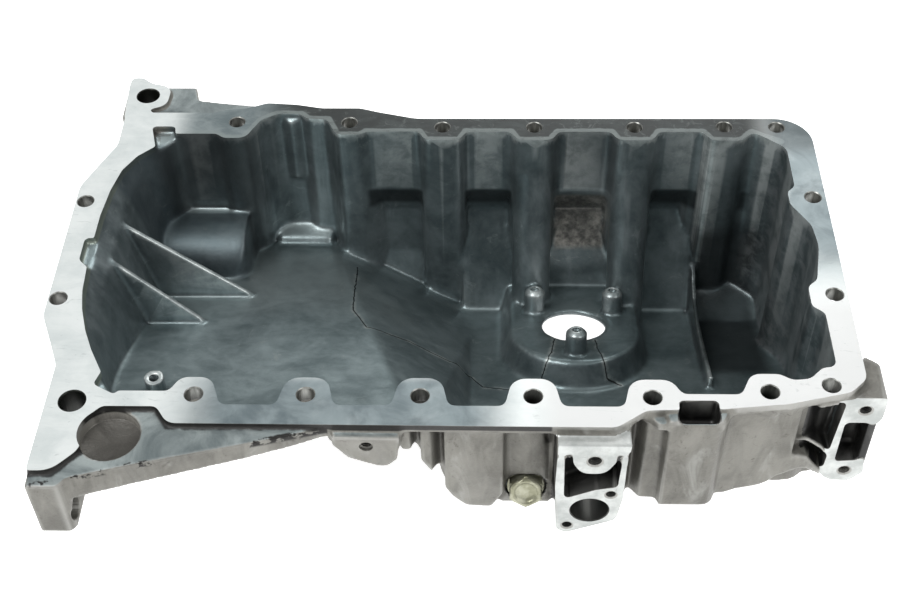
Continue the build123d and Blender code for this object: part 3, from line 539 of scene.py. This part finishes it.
def lathe(profile, origin, axis, seg=64, closed=True):
    """Revolve (radius, distance along axis) points, in mm, round an axis; returns a bmesh in metres."""
    axis = Vector(axis).normalized()
    u = axis.orthogonal().normalized()
    v = axis.cross(u)
    o = Vector(origin)
    bm = bmesh.new()
    rings = []
    for r, d in profile:
        if r < 1e-6:
            rings.append([bm.verts.new((o + axis * d) * MM)])
        else:
            rings.append([bm.verts.new((o + axis * d + (u * math.cos(2 * math.pi * k / seg) + v * math.sin(2 * math.pi * k / seg)) * r) * MM)
                          for k in range(seg)])
    pairs = list(zip(rings, rings[1:]))
    if closed and len(rings[0]) > 1 and len(rings[-1]) > 1:
        pairs.append((rings[-1], rings[0]))
    for a, b in pairs:
        for k in range(seg):
            n = (k + 1) % seg
            if len(a) == 1:
                bm.faces.new((a[0], b[n], b[k]))
            elif len(b) == 1:
                bm.faces.new((a[k], a[n], b[0]))
            else:
                bm.faces.new((a[k], a[n], b[n], b[k]))
    bmesh.ops.recalc_face_normals(bm, faces=bm.faces)
    return bm


def box_bm(lo, hi):
    bm = bmesh.new()
    bmesh.ops.create_cube(bm, size=1.0)
    for v in bm.verts:
        v.co = Vector([(lo[i] + hi[i]) / 2 * MM + v.co[i] * (hi[i] - lo[i]) * MM for i in range(3)])
    return bm


def join_bm(bms, name):
    me = bpy.data.meshes.new(name)
    out = bmesh.new()
    for b in bms:
        tmp = bpy.data.meshes.new("tmp")
        b.to_mesh(tmp)
        out.from_mesh(tmp)
        b.free()
        bpy.data.meshes.remove(tmp)
    bmesh.ops.triangulate(out, faces=out.faces)
    out.to_mesh(me)
    out.free()
    return me


def cut(ob, cutters):
    """Cut disjoint closed shapes out of ob. The mesh is left as it was if the result is not sound."""
    me = join_bm(cutters, "cutter")
    co = bpy.data.objects.new("cutter", me)
    scene.collection.objects.link(co)
    before = len(ob.data.polygons)
    md = ob.modifiers.new("cut", "BOOLEAN")
    md.operation = "DIFFERENCE"
    md.solver = "MANIFOLD"
    md.object = co
    dg = bpy.context.evaluated_depsgraph_get()
    res = bpy.data.meshes.new_from_object(ob.evaluated_get(dg))
    ob.modifiers.clear()
    if len(res.polygons) > before * 0.4:
        ob.data = res
    else:
        print("cut skipped", len(res.polygons), before)
    bpy.data.objects.remove(co)


n_s = Vector((0, SLOPE, 1)).normalized()
ax = Vector((0, -0.943, 0.333)).normalized()
head_front = Vector((20.4, -117.8, -61.6))
seat = head_front - ax * 10.5
near_holes = [(-146.8, -102.6), (-90.7, -102.4), (-33.5, -102.8), (22.9, -102.7), (82.1, -103.0), (140.7, -98.9), (171.7, -94.6)]
far_holes = [(-150.4, 107.0), (-83.0, 106.7), (-27.3, 102.6), (27.3, 102.6), (86.6, 102.7), (139.7, 103.3), (170.4, 102.9)]
side_holes = [(182.9, 42.6), (183.2, -32.3), (-228.3, 37.6), (-228.3, -37.6)]
lug_holes = [(-208.0, 131.5), (-207.0, -107.3)]


def threaded(r_root, r_tip, pitch, depth, start=0.0):
    """Profile of a tapped hole as rings: from outside the mouth down to a drill point."""
    pr = [(0.0, -6.0), (r_root + 0.5, -6.0), (r_root + 0.5, start), (r_tip, start + 0.5)]
    d = start + 0.9
    while d < depth - pitch:
        pr += [(r_tip, d), (r_root, d + pitch * 0.5), (r_root, d + pitch * 0.62)]
        d += pitch
    pr += [(r_tip, depth), (0.0, depth + r_tip * 0.55)]
    return pr


def hole(p, d, depth, axis, rim=0.45, over=6.0):
    r = d / 2 + 0.03
    return lathe([(0.0, -over), (r + rim, -over), (r + rim, 0.0), (r, rim), (r, depth), (0.0, depth)], p, axis, 56)


CLOSE = 1.1


def build_casting():
    h = 0.85
    co, tri = cad_triangles("pan_casting")
    g = level(co, tri, h, max(3.0, 2.4 / h))
    p, t = polygons(g, CLOSE)                     # grow
    if signed_volume(p, t) < 0:
        t = t[:, ::-1].copy()
    g = level(p, t, h, max(3.0, 2.4 / h))
    p, t = polygons(g, -CLOSE)                    # and shrink: every inside corner gets a fillet
    if signed_volume(p, t) < 0:
        t = t[:, ::-1].copy()
    # softer corners inside the pan
    d = outline(p[:, :2].astype(float))
    z, x, y = p[:, 2], p[:, 0], p[:, 1]
    w = np.clip((2.4 - d) / 1.5, 0, 1)
    w = np.maximum(w, in_bay(p).astype(float))
    w[(y > 82) & (np.array([in_bay(np.array([[a, 98.0]]))[0] for a in np.arange(-245, 212)])[np.clip((x + 245).astype(int), 0, 456)])] *= 0.3
    w *= np.clip((-2.5 - z) / 3.0, 0, 1)
    keep = (np.abs(y - 33.8) < 4.0) & (x < -134) | (np.abs(y - 2.5) < 4.0) & (x < -157) | (np.abs(x - 131.5) < 4.2) & (y < 100) & (y > -16)
    keep |= (np.hypot(x + 176.0, y + 71.5) < 8.5) | (y < -88) & (np.abs(x - 20) < 17) & (z < -45)
    for px, py in ((52.5, 5.6), (29.3, 54.5), (77.3, 53.5)):
        keep |= (np.hypot(x - px, (y - py - 3) * 0.9) < 10.5) & (z > -89.4 - SLOPE * y - 3.0)
    w[keep] = 0
    rounds = 26
    p = smooth(p, t, w, rounds)
    out = (w <= 0.01) & (z < -2)
    p = smooth(p, t, np.where(out & ~keep, 0.5, 0.0), 4)
    me = make_mesh("casting", p * MM, t)
    ob = bpy.data.objects.new("sump_casting", me)
    scene.collection.objects.link(ob)
    target = 165000
    md = ob.modifiers.new("d", "DECIMATE")
    md.ratio = min(1.0, target / max(1, len(t)))
    applied(ob)
    # machined planes
    cut(ob, [box_bm((-260, -170, 0.0), (230, 170, 12.0))])
    cut(ob, [box_bm((28, -140, -92), (76, -129.0, -12.65)), box_bm((176, -110, -82), (210, -97.5, -6.3))])
    # drilled and tapped holes
    dn = (0, 0, -1)
    c = [hole((x, y, 0), 9.0, 13.5, dn) for x, y in near_holes + far_holes + side_holes]
    c += [hole((x, y, 0), 13.0, 46.0, dn, 0.6) for x, y in lug_holes]
    c += [lathe([(0.0, -6.9), (15.15, -6.9), (15.15, 9.0), (14.6, 9.5), (0.0, 9.5)], (-185.6, -126.3, 0), dn, 96)]
    c += [hole((-203.0, -149.1, -31.5), 12.4, 36.0, (-1, 0, 0), 0.5)]
    top = Vector((52.8, 37.8, -89.4 - SLOPE * 37.8))
    c += [hole(top, 37.6, 11.0, -n_s, 0.5, 4.0)]
    for px, py in ((52.5, 5.6), (29.3, 54.5), (77.3, 53.5)):
        f = Vector((px, py, -89.4 - SLOPE * py)) + n_s * 15.5
        c.append(lathe(threaded(2.95, 2.55, 1.0, 13.0), f, -n_s, 40))
    c.append(hole((52.8, -129.0, -60.2), 19.6, 26.0, (0, 1, 0), 0.5))
    for hx, hz in ((63.0, -46.6), (41.8, -74.0)):
        c.append(lathe(threaded(2.95, 2.55, 1.0, 13.0), (hx, -129.0, hz), (0, 1, 0), 40))
    c.append(lathe(threaded(3.9, 3.4, 1.25, 14.0), (53.4, -129.0, -18.6), (0, 1, 0), 44))
    c.append(lathe(threaded(2.95, 2.55, 1.0, 11.0), (-59.7, -124.5, -11.6), (0, 1, 0), 40))
    for hx, hz in ((191.4, -16.5), (189.6, -67.1)):
        c.append(lathe(threaded(3.5, 3.0, 1.0, 12.0), (hx, -97.5, hz), (0, 1, 0), 44))
    c.append(lathe(threaded(2.95, 2.55, 1.0, 13.0), (-176.0, -71.5, -24.5), dn, 40))
    c.append(lathe([(0.0, 14.0), (10.65, 14.0), (10.65, 0.0), (6.35, 0.0), (6.35, -1.0), (6.1, -1.2), (6.1, -26.0), (0.0, -26.0)], seat, ax, 72))
    cut(ob, c)
    return ob


casting = build_casting()


def paint(ob):
    """Material by face, and the convex and concave masks by vertex."""
    me = ob.data
    me.materials.clear()
    for m in (INSIDE, OUTSIDE, RAIL, FACE, HOLE, POCKET):
        me.materials.append(m)
    nv, nf = len(me.vertices), len(me.polygons)
    co = np.zeros(nv * 3); me.vertices.foreach_get("co", co); co = co.reshape(-1, 3) / MM
    ce = np.zeros(nf * 3); me.polygons.foreach_get("center", ce); ce = ce.reshape(-1, 3) / MM
    no = np.zeros(nf * 3); me.polygons.foreach_get("normal", no); no = no.reshape(-1, 3)
    x, y, z = ce.T
    d = outline(ce[:, :2])
    inn = (d < 2.2) | (in_bay(ce) & (no[:, 1] < 0.5))
    inn |= (y > 95) & (y < 118) & (x < -95) & (x > -140) & (no[:, 1] < 0.4) & (d < 4)
    inn &= (no[:, 2] > -0.3) & (z < -0.001)
    e = 0.8
    gx = outline(ce[:, :2] + [e, 0]) - outline(ce[:, :2] - [e, 0])
    gy = outline(ce[:, :2] + [0, e]) - outline(ce[:, :2] - [0, e])
    facing = -(no[:, 0] * gx + no[:, 1] * gy) / np.maximum(np.hypot(gx, gy), 1e-6)
    inn |= (d < 9.5) & (facing > 0.2) & (no[:, 2] > -0.75) & (z < -0.001) & (y > -104)
    inn |= (d < 6.0) & (z > -14) & (z < -0.001) & (no[:, 2] > 0.5) & (y > -101)
    # a recess open to the floor below and covered above is outside metal
    tree = BVHTree.FromPolygons([v.co[:] for v in me.vertices], [p.vertices[:] for p in me.polygons])
    for i in np.nonzero(inn & (z < -8.0))[0]:
        p = Vector((ce[i] + 0.3 * no[i]) * MM)
        if tree.ray_cast(p, Vector((0, 0, -1)))[0] is None and tree.ray_cast(p, Vector((0, 0, 1)))[0] is not None:
            inn[i] = False
    idx = np.where(inn, 0, 1)
    # machined rail top, machined faces and the lip of the flange
    flat = np.abs(no)
    idx[(z > -0.02) & (no[:, 2] > 0.98)] = 2
    idx[(np.abs(y + 129.0) < 0.03) & (no[:, 1] < -0.98) & (x > 30) & (x < 76)] = 3
    idx[(np.abs(y + 97.5) < 0.03) & (no[:, 1] < -0.98) & (x > 176)] = 3
    idx[(x > 34) & (x < 72) & (y < -120) & (z > -13) & (z < -5.2) & ((no[:, 1] < -0.6) | (no[:, 2] > 0.6))] = 3

    def on_cylinder(p, axis, r, lo, hi, tol=0.14):
        axis = np.array(axis, float) / np.linalg.norm(axis)
        q = ce - np.array(p, float)
        a = q @ axis
        rad = np.linalg.norm(q - a[:, None] * axis, axis=1)
        nr = np.abs(no @ axis)
        return (np.abs(rad - r) < tol + 0.6 * (nr > 0.05)) & (a > lo) & (a < hi) & (nr < 0.9)
    for hx, hy in near_holes + far_holes + side_holes:
        idx[on_cylinder((hx, hy, 0), (0, 0, -1), 4.5, -0.2, 14)] = 4
    for hx, hy in lug_holes:
        idx[on_cylinder((hx, hy, 0), (0, 0, -1), 6.5, -0.2, 30)] = 4
    idx[on_cylinder((52.8, -129, -60.2), (0, 1, 0), 9.8, -0.2, 20)] = 4
    idx[on_cylinder(tuple(seat), tuple(ax), 10.65, -1, 14, 0.2)] = 4
    # the pockets and the rail notch take the pocket material, painted near black as shade
    idx[(idx == 1) & (x > 34) & (x < 70) & (y > -128.7) & (y < -108) & (z > -80) & (z < -14)] = 5
    idx[(idx == 1) & (x > 176) & (x < 203) & (y > -97.2) & (y < -78) & (z > -66) & (z < -18)] = 5
    idx[(idx == 1) & (x > 163) & (x < 180) & (y > -97.0) & (y < -70) & (z > -62) & (z < -14)] = 5
    idx[(idx == 1) & (x > 94.0) & (x < 115.4) & (y > -116.3) & (y < -104.0) & (z > -16.6) & (z < -0.6)] = 5
    me.polygons.foreach_set("material_index", idx.astype(np.int32))

    # curvature: how far each vertex stands out of its neighbours' plane
    vn = np.zeros(nv * 3); me.vertices.foreach_get("normal", vn); vn = vn.reshape(-1, 3)
    ed = np.zeros(len(me.edges) * 2, np.int64); me.edges.foreach_get("vertices", ed); ed = ed.reshape(-1, 2)
    a, b = ed.T
    dv = co[b] - co[a]
    ln = np.maximum(np.linalg.norm(dv, axis=1), 1e-6)
    c = np.einsum("ij,ij->i", vn[b] - vn[a], dv) / ln          # turn of the normal along the edge
    c = np.clip(c, -1.2, 1.2)
    s = np.bincount(a, c, nv) + np.bincount(b, c, nv)
    n = np.maximum(np.bincount(a, minlength=nv) + np.bincount(b, minlength=nv), 1)
    k = s / n
    for _ in range(2):
        k = 0.5 * k + 0.5 * (np.bincount(a, k[b], nv) + np.bincount(b, k[a], nv)) / n
    cvx = np.clip((k - 0.10) / 0.25, 0, 1)
    ccv = np.clip((-k - 0.06) / 0.25, 0, 1)
    for name, v in (("convex", cvx), ("concave", ccv)):
        at = me.attributes.new(name, "FLOAT", "POINT")
        at.data.foreach_set("value", v.astype(np.float32))
    me.polygons.foreach_set("use_smooth", np.ones(nf, bool))
    # crisp normals at machined corners only
    me.update()
    ang = math.radians(38)
    bm = bmesh.new(); bm.from_mesh(me)
    for e in bm.edges:
        if len(e.link_faces) == 2:
            f1, f2 = e.link_faces
            lim = ang if (f1.material_index > 1 or f2.material_index > 1) else math.radians(55)
            if f1.material_index != f2.material_index and (f1.material_index > 1 or f2.material_index > 1):
                lim = math.radians(20)
            e.smooth = e.calc_face_angle(0.0) < lim
    bm.to_mesh(me); bm.free()


def drop_slivers(ob):
    """Delete the doubled and empty slivers that the cuts leave at rims, and weld what is left."""
    bm = bmesh.new(); bm.from_mesh(ob.data)
    bmesh.ops.triangulate(bm, faces=bm.faces[:])
    bm.verts.ensure_lookup_table(); bm.faces.ensure_lookup_table()
    co = np.array([v.co[:] for v in bm.verts], dtype=np.float32)
    same = np.unique(co, axis=0, return_inverse=True)[1].ravel()
    tri = np.sort(same[np.array([[v.index for v in f.verts] for f in bm.faces])], axis=1)
    n = np.unique(tri, axis=0, return_inverse=True, return_counts=True)
    twice = n[2][n[1].ravel()] > 1
    empty = (tri[:, 0] == tri[:, 1]) | (tri[:, 1] == tri[:, 2])
    gone = [bm.faces[int(i)] for i in np.nonzero(twice | empty)[0]]
    bmesh.ops.delete(bm, geom=gone, context="FACES")
    bmesh.ops.remove_doubles(bm, verts=bm.verts[:], dist=1e-8)
    if gone and all(len(e.link_faces) == 2 for e in bm.edges):
        bm.to_mesh(ob.data); ob.data.update()
    print("slivers", len(gone), "odd edges", sum(len(e.link_faces) != 2 for e in bm.edges))
    bm.free()


drop_slivers(casting)
paint(casting)
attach(casting, "pan")
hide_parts("pan_casting")


# ------------------------------------------------------------------ drain plug and washer
def plug_mesh():
    """Flanged hexagon head with a dished face, and a rolled thread below."""
    bms = []
    z0 = 1.5
    fr = 9.9
    bms.append(lathe([(0.0, z0), (fr - 0.3, z0), (fr, z0 + 0.3), (fr, z0 + 1.5), (fr - 0.25, z0 + 1.85), (fr - 1.2, z0 + 2.15), (0.0, z0 + 2.3)], seat, ax, 72))
    # hexagon with rounded chamfer at the front, dished face
    u = Vector((1, 0, 0)); v = ax.cross(u)
    bm = bmesh.new()
    af = 17.0
    seg = 96

    def hexr(a):
        a = (a + math.pi / 6) % (math.pi / 3) - math.pi / 6
        return (af / 2) / math.cos(a)
    prof = [(1.00, 2.0, 0), (1.00, 7.6, 0), (0.985, 8.0, 1), (0.95, 8.55, 1), (0.90, 8.95, 1), (0.84, 9.0, 1), (0.76, 8.9, 1), (0.68, 8.35, 1), (0.60, 7.75, 1), (0.45, 7.5, 1), (0.2, 7.42, 1)]
    rings = []
    for s, d, rnd in prof:
        ring = []
        for k in range(seg):
            a = 2 * math.pi * k / seg
            r = hexr(a) * s
            if rnd:
                r = min(r, 9.0 * s if s > 0.9 else 8.6 * s)
            ring.append(bm.verts.new((seat + ax * (z0 + d) + (u * math.cos(a) + v * math.sin(a)) * r) * MM))
        rings.append(ring)
    for r0, r1 in zip(rings, rings[1:]):
        for k in range(seg):
            bm.faces.new((r0[k], r0[(k + 1) % seg], r1[(k + 1) % seg], r1[k]))
    bm.faces.new(rings[0][::-1]); bm.faces.new(rings[-1])
    bmesh.ops.recalc_face_normals(bm, faces=bm.faces)
    bms.append(bm)
    # thread: M12 x 1.5, rolled, on the shank
    bm = bmesh.new()
    pitch, rmaj, rmin, seg = 1.5, 5.98, 5.12, 48
    steps = 6
    lo, hi = -13.3, 0.4
    rows = int((hi - lo) / pitch * steps)
    grid = []
    for i in range(rows + 1):
        ring = []
        for k in range(seg):
            d = lo + (hi - lo) * i / rows
            ph = (d / pitch + k / seg) % 1.0
            tri = abs(2 * ph - 1)
            r = rmin + (rmaj - rmin) * min(1.0, max(0.0, (tri - 0.12) / 0.74))
            if d < lo + 1.2:
                r = min(r, rmin - 0.4 + (d - lo) * 0.9)
            if d > -0.8:
                r = 5.2
            a = 2 * math.pi * k / seg
            ring.append(bm.verts.new((seat + ax * d + (u * math.cos(a) + v * math.sin(a)) * r) * MM))
        grid.append(ring)
    for r0, r1 in zip(grid, grid[1:]):
        for k in range(seg):
            bm.faces.new((r0[k], r0[(k + 1) % seg], r1[(k + 1) % seg], r1[k]))
    c0 = bm.verts.new((seat + ax * (lo - 0.7)) * MM)
    for k in range(seg):
        bm.faces.new((grid[0][(k + 1) % seg], grid[0][k], c0))
    c1 = bm.verts.new((seat + ax * (z0 + 0.5)) * MM)
    for k in range(seg):
        bm.faces.new((grid[-1][k], grid[-1][(k + 1) % seg], c1))
    bmesh.ops.recalc_face_normals(bm, faces=bm.faces)
    bms.append(bm)
    me = bpy.data.meshes.new("plug")
    out = bmesh.new()
    for b in bms:
        tmp = bpy.data.meshes.new("tmp"); b.to_mesh(tmp); out.from_mesh(tmp); b.free(); bpy.data.meshes.remove(tmp)
    for f in out.faces:
        f.smooth = True
    for e in out.edges:
        if len(e.link_faces) == 2:
            e.smooth = e.calc_face_angle(0.0) < math.radians(32)
    out.to_mesh(me); out.free()
    return me


plug = bpy.data.objects.new("plug_visible", plug_mesh())
scene.collection.objects.link(plug)
plug.data.materials.append(zinc())
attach(plug, "plug_body")
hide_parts("drain_plug")

bm = lathe([(6.2, 0.25), (6.45, 0.02), (9.5, 0.02), (9.75, 0.25), (9.75, 1.25), (9.5, 1.48), (6.45, 1.48), (6.2, 1.25)], seat, ax, 72)
me = bpy.data.meshes.new("washer")
for f in bm.faces:
    f.smooth = True
for e in bm.edges:
    e.smooth = e.calc_face_angle(0.0) < math.radians(50)
bm.to_mesh(me); bm.free()
washer = bpy.data.objects.new("washer_visible", me)
scene.collection.objects.link(washer)
washer.data.materials.append(washer_metal())
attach(washer, "washer_body")
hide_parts("drain_washer")

# ------------------------------------------------------------------ floor, light
fl = bmesh.new()
bmesh.ops.create_grid(fl, x_segments=2, y_segments=2, size=4.0)
me = bpy.data.meshes.new("floor")
fl.to_mesh(me); fl.free()
floor = bpy.data.objects.new("floor", me)
floor.location = (0, 0, -0.158)
scene.collection.objects.link(floor)
fm = Mat("pale_floor")
fm.set(color=(0.9, 0.9, 0.9), rough=0.9, spec=0.1, glow=(1.0, 1.0, 1.0), glow_s=0.75)
floor.data.materials.append(fm.m)

world = bpy.data.worlds.new("studio")
scene.world = world
world.use_nodes = True
world.node_tree.nodes["Background"].inputs[0].default_value = (1.0, 1.0, 1.0, 1.0)
world.node_tree.nodes["Background"].inputs[1].default_value = 0.55


def area(name, loc, target, size, power, size_y=None):
    l = bpy.data.lights.new(name, "AREA")
    l.energy = power
    l.size = size
    if size_y:
        l.shape = "RECTANGLE"
        l.size_y = size_y
    o = bpy.data.objects.new(name, l)
    o.location = loc
    o.rotation_euler = (Vector(target) - Vector(loc)).to_track_quat("-Z", "Y").to_euler()
    scene.collection.objects.link(o)


area("key", (-0.9, -0.7, 1.5), (0, 0, -0.05), 0.9, 22)
area("fill", (1.2, -0.9, 0.9), (0.05, 0, -0.05), 1.0, 9)
area("back", (0.3, 1.3, 1.1), (0, 0, -0.05), 1.0, 10)

scene.view_settings.view_transform = "Standard"
scene.view_settings.look = "None"
